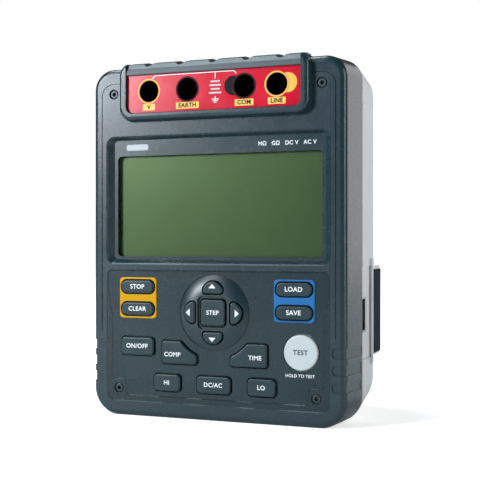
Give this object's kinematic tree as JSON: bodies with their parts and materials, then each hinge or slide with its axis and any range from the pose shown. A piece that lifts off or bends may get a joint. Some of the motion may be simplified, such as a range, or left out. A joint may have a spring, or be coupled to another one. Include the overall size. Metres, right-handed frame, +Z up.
{
  "type": "insulation resistance tester",
  "caption": "Portable insulation resistance tester: upright case with shrouded terminals along the top, a wide display, a sprung keypad and a hinged side port cover.",
  "frame": {"origin": "middle of the outer box, on the surface the instrument stands on", "axes": "+X to the right of a person facing the display, +Y into the instrument from front to back, +Z up"},
  "size_m": [0.155, 0.094, 0.202],
  "materials": {
    "front_plastic": "fine texture, blue-grey",
    "rear_plastic": "fine texture, light grey",
    "rubber": "matt",
    "steel": "zinc-plated",
    "black_steel": "black oxide",
    "red_panel": "satin",
    "window": "clear",
    "lcd": "satin, green",
    "white_plastic": "satin",
    "yellow_plastic": "satin",
    "blue_plastic": "satin",
    "circuit_board": "solder mask",
    "brass": "nickel-free, satin",
    "ferrite": "matt",
    "aluminium": "satin",
    "relay_plastic": "satin",
    "black_plastic": "satin",
    "cell_can": "printed jacket",
    "yellow_sleeve": "satin",
    "key_plastic": "fine texture",
    "test_key": "satin"
  },
  "bodies": {
    "case": {"front_shell": "front_plastic", "rear_shell": "rear_plastic", "shell_seal": "rubber", "case_screws": "black_steel", "terminal_block": "front_plastic", "terminal_panel": "red_panel", "display_bezel": "front_plastic", "display_window": "window", "lcd_glass": "lcd", "lcd_backlight": "white_plastic", "lcd_connector": "rubber", "yellow_key_frame": "yellow_plastic", "blue_key_frame": "blue_plastic", "dpad_dome": "front_plastic", "keypad_mat": "rubber", "display_board": "circuit_board", "main_board": "circuit_board", "board_standoffs": "brass", "hv_transformer": "ferrite", "storage_capacitors": "aluminium", "range_relays": "relay_plastic", "sounder": "black_plastic", "interface_socket": "steel", "interface_contacts": "brass", "battery_cells": "cell_can", "battery_plates": "steel", "battery_springs": "steel", "battery_door_seal": "rubber", "port_hinge_pin": "steel", "socket_sleeve_volts": "yellow_sleeve", "socket_contact_volts": "brass", "socket_sleeve_earth": "black_plastic", "socket_contact_earth": "brass", "socket_sleeve_common": "black_plastic", "socket_contact_common": "brass", "socket_sleeve_line": "yellow_sleeve", "socket_contact_line": "brass"},
    "stop_key": {"stop_key": "key_plastic"},
    "clear_key": {"clear_key": "key_plastic"},
    "load_key": {"load_key": "key_plastic"},
    "save_key": {"save_key": "key_plastic"},
    "on_off_key": {"on_off_key": "key_plastic"},
    "compare_key": {"compare_key": "key_plastic"},
    "time_key": {"time_key": "key_plastic"},
    "high_ohms_key": {"high_ohms_key": "key_plastic"},
    "volts_key": {"volts_key": "key_plastic"},
    "low_ohms_key": {"low_ohms_key": "key_plastic"},
    "test_key": {"test_key": "test_key"},
    "up_key": {"up_key": "key_plastic"},
    "left_key": {"left_key": "key_plastic"},
    "down_key": {"down_key": "key_plastic"},
    "right_key": {"right_key": "key_plastic"},
    "step_key": {"step_key": "key_plastic"},
    "port_cover": {"port_cover": "rear_plastic", "port_cover_seal": "rubber"},
    "battery_door": {"battery_door": "rear_plastic", "battery_door_screws": "black_steel"}
  },
  "joints": [
    {"name": "stop_key_press", "type": "slide", "parent": "case", "child": "stop_key", "axis": [0, 1, 0], "range_m": [0, 0.0012], "stiffness_N_per_m": 900, "springref_m": -0.0003},
    {"name": "clear_key_press", "type": "slide", "parent": "case", "child": "clear_key", "axis": [0, 1, 0], "range_m": [0, 0.0012], "stiffness_N_per_m": 900, "springref_m": -0.0003},
    {"name": "load_key_press", "type": "slide", "parent": "case", "child": "load_key", "axis": [0, 1, 0], "range_m": [0, 0.0012], "stiffness_N_per_m": 900, "springref_m": -0.0003},
    {"name": "save_key_press", "type": "slide", "parent": "case", "child": "save_key", "axis": [0, 1, 0], "range_m": [0, 0.0012], "stiffness_N_per_m": 900, "springref_m": -0.0003},
    {"name": "on_off_key_press", "type": "slide", "parent": "case", "child": "on_off_key", "axis": [0, 1, 0], "range_m": [0, 0.0012], "stiffness_N_per_m": 900, "springref_m": -0.0003},
    {"name": "compare_key_press", "type": "slide", "parent": "case", "child": "compare_key", "axis": [0, 1, 0], "range_m": [0, 0.0012], "stiffness_N_per_m": 900, "springref_m": -0.0003},
    {"name": "time_key_press", "type": "slide", "parent": "case", "child": "time_key", "axis": [0, 1, 0], "range_m": [0, 0.0012], "stiffness_N_per_m": 900, "springref_m": -0.0003},
    {"name": "high_ohms_key_press", "type": "slide", "parent": "case", "child": "high_ohms_key", "axis": [0, 1, 0], "range_m": [0, 0.0012], "stiffness_N_per_m": 900, "springref_m": -0.0003},
    {"name": "volts_key_press", "type": "slide", "parent": "case", "child": "volts_key", "axis": [0, 1, 0], "range_m": [0, 0.0012], "stiffness_N_per_m": 900, "springref_m": -0.0003},
    {"name": "low_ohms_key_press", "type": "slide", "parent": "case", "child": "low_ohms_key", "axis": [0, 1, 0], "range_m": [0, 0.0012], "stiffness_N_per_m": 900, "springref_m": -0.0003},
    {"name": "test_key_press", "type": "slide", "parent": "case", "child": "test_key", "axis": [0, 1, 0], "range_m": [0, 0.0012], "stiffness_N_per_m": 900, "springref_m": -0.0003},
    {"name": "up_key_press", "type": "slide", "parent": "case", "child": "up_key", "axis": [0, 1, 0], "range_m": [0, 0.0012], "stiffness_N_per_m": 900, "springref_m": -0.0003},
    {"name": "left_key_press", "type": "slide", "parent": "case", "child": "left_key", "axis": [0, 1, 0], "range_m": [0, 0.0012], "stiffness_N_per_m": 900, "springref_m": -0.0003},
    {"name": "down_key_press", "type": "slide", "parent": "case", "child": "down_key", "axis": [0, 1, 0], "range_m": [0, 0.0012], "stiffness_N_per_m": 900, "springref_m": -0.0003},
    {"name": "right_key_press", "type": "slide", "parent": "case", "child": "right_key", "axis": [0, 1, 0], "range_m": [0, 0.0012], "stiffness_N_per_m": 900, "springref_m": -0.0003},
    {"name": "step_key_press", "type": "slide", "parent": "case", "child": "step_key", "axis": [0, 1, 0], "range_m": [0, 0.0012], "stiffness_N_per_m": 900, "springref_m": -0.0003},
    {"name": "port_cover_hinge", "type": "hinge", "parent": "case", "child": "port_cover", "pos_m": [0.07596, 0.00862, 0.0601], "axis": [0, 0, -1], "range_deg": [0, 178]},
    {"name": "battery_door_pull", "type": "slide", "parent": "case", "child": "battery_door", "axis": [0, 1, 0], "range_m": [0, 0.03]}
  ]
}
